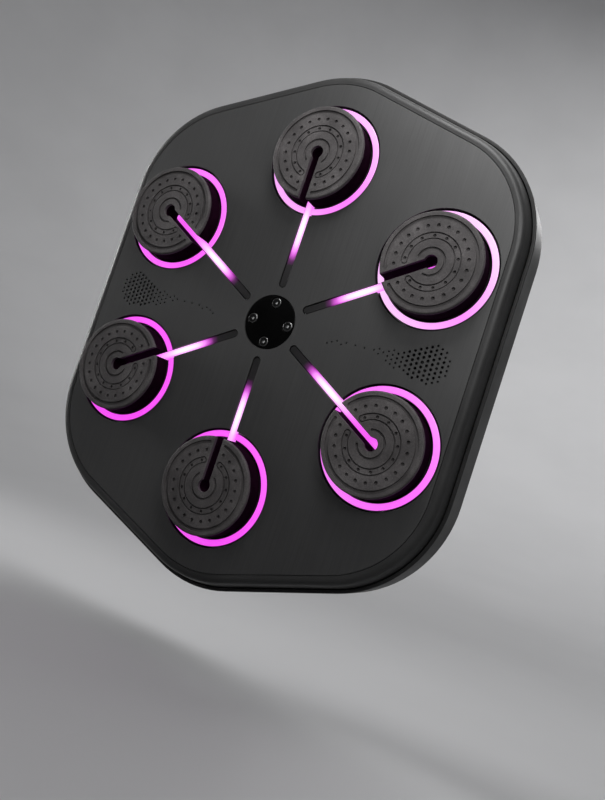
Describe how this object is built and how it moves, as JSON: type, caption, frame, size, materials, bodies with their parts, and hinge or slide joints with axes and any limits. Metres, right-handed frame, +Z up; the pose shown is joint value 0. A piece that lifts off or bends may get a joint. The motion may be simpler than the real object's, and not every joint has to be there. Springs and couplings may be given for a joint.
{
  "type": "boxing punch machine",
  "caption": "Flat wall-mounted boxing machine: a rounded hexagon body with sprung round targets, each with a glowing ring and a light bar that points at the hub.",
  "frame": {"origin": "centre of the wall plate's back face, on the wall plane behind the hub", "axes": "+X right, +Z up, and the targets face -Y, so +Y points into the wall"},
  "size_m": [0.3557, 0.055, 0.425],
  "materials": {
    "shell_plastic": "fine moulded texture",
    "frame_plastic": "satin",
    "face_sheet": "satin dark anodised, faint brushing",
    "hub_gloss": "gloss black",
    "black_screw": "dark zinc",
    "wall_steel": "brushed",
    "case_screw_steel": "plain",
    "cushion_foam": "closed-cell foam",
    "pad_rubber": "matt, fine grain",
    "pad_foam": "matt",
    "carrier_plastic": "satin",
    "spring_steel": "bright",
    "ring_light": "diffusing, lit magenta",
    "bar_light": "smoked light guide, lit magenta towards the target",
    "led_board": "white solder mask",
    "sensor_rubber": "matt",
    "speaker_black": "paper and steel",
    "circuit_board": "green solder mask",
    "battery_wrap": "shrink wrap",
    "port_metal": "plain",
    "button_plastic": "satin",
    "status_light": "clear light pipe"
  },
  "bodies": {
    "root": {"rear_shell": "shell_plastic", "front_frame": "frame_plastic", "face_plate": "face_sheet", "hub_cap": "hub_gloss", "hub_screws": "black_screw", "wall_plate": "wall_steel", "case_screws": "case_screw_steel", "wall_cushions": "cushion_foam", "pad_spring_top": "spring_steel", "pad_spring_upper_right": "spring_steel", "pad_spring_lower_right": "spring_steel", "pad_spring_bottom": "spring_steel", "pad_spring_lower_left": "spring_steel", "pad_spring_upper_left": "spring_steel", "light_ring_top": "ring_light", "light_ring_upper_right": "ring_light", "light_ring_lower_right": "ring_light", "light_ring_bottom": "ring_light", "light_ring_lower_left": "ring_light", "light_ring_upper_left": "ring_light", "light_bar_top": "bar_light", "light_bar_upper_right": "bar_light", "light_bar_lower_right": "bar_light", "light_bar_bottom": "bar_light", "light_bar_lower_left": "bar_light", "light_bar_upper_left": "bar_light", "ring_led_boards": "led_board", "bar_led_boards": "led_board", "impact_sensors": "sensor_rubber", "speaker_left": "speaker_black", "speaker_right": "speaker_black", "main_board": "circuit_board", "battery_pack": "battery_wrap", "side_board": "circuit_board", "usb_port": "port_metal", "status_lens": "status_light", "board_screws": "case_screw_steel"},
    "pad_top": {"pad_face_top": "pad_rubber", "pad_core_top": "pad_foam", "pad_carrier_top": "carrier_plastic"},
    "pad_upper_right": {"pad_face_upper_right": "pad_rubber", "pad_core_upper_right": "pad_foam", "pad_carrier_upper_right": "carrier_plastic"},
    "pad_lower_right": {"pad_face_lower_right": "pad_rubber", "pad_core_lower_right": "pad_foam", "pad_carrier_lower_right": "carrier_plastic"},
    "pad_bottom": {"pad_face_bottom": "pad_rubber", "pad_core_bottom": "pad_foam", "pad_carrier_bottom": "carrier_plastic"},
    "pad_lower_left": {"pad_face_lower_left": "pad_rubber", "pad_core_lower_left": "pad_foam", "pad_carrier_lower_left": "carrier_plastic"},
    "pad_upper_left": {"pad_face_upper_left": "pad_rubber", "pad_core_upper_left": "pad_foam", "pad_carrier_upper_left": "carrier_plastic"},
    "power": {"power_button": "button_plastic"},
    "volume_up": {"volume_up_button": "button_plastic"},
    "volume_down": {"volume_down_button": "button_plastic"}
  },
  "joints": [
    {"name": "pad_press_top", "type": "slide", "parent": "root", "child": "pad_top", "axis": [0, 1, 0], "range_m": [0, 0.004], "stiffness_N_per_m": 1500, "springref_m": -0.002, "deforming": ["pad_spring_top"]},
    {"name": "pad_press_upper_right", "type": "slide", "parent": "root", "child": "pad_upper_right", "axis": [0, 1, 0], "range_m": [0, 0.004], "stiffness_N_per_m": 1500, "springref_m": -0.002, "deforming": ["pad_spring_upper_right"]},
    {"name": "pad_press_lower_right", "type": "slide", "parent": "root", "child": "pad_lower_right", "axis": [0, 1, 0], "range_m": [0, 0.004], "stiffness_N_per_m": 1500, "springref_m": -0.002, "deforming": ["pad_spring_lower_right"]},
    {"name": "pad_press_bottom", "type": "slide", "parent": "root", "child": "pad_bottom", "axis": [0, 1, 0], "range_m": [0, 0.004], "stiffness_N_per_m": 1500, "springref_m": -0.002, "deforming": ["pad_spring_bottom"]},
    {"name": "pad_press_lower_left", "type": "slide", "parent": "root", "child": "pad_lower_left", "axis": [0, 1, 0], "range_m": [0, 0.004], "stiffness_N_per_m": 1500, "springref_m": -0.002, "deforming": ["pad_spring_lower_left"]},
    {"name": "pad_press_upper_left", "type": "slide", "parent": "root", "child": "pad_upper_left", "axis": [0, 1, 0], "range_m": [0, 0.004], "stiffness_N_per_m": 1500, "springref_m": -0.002, "deforming": ["pad_spring_upper_left"]},
    {"name": "power_press", "type": "slide", "parent": "root", "child": "power", "axis": [1, 0, 0], "range_m": [0, 0.0008], "stiffness_N_per_m": 400, "springref_m": -0.0005},
    {"name": "volume_up_press", "type": "slide", "parent": "root", "child": "volume_up", "axis": [1, 0, 0], "range_m": [0, 0.0008], "stiffness_N_per_m": 400, "springref_m": -0.0005},
    {"name": "volume_down_press", "type": "slide", "parent": "root", "child": "volume_down", "axis": [1, 0, 0], "range_m": [0, 0.0008], "stiffness_N_per_m": 400, "springref_m": -0.0005}
  ]
}
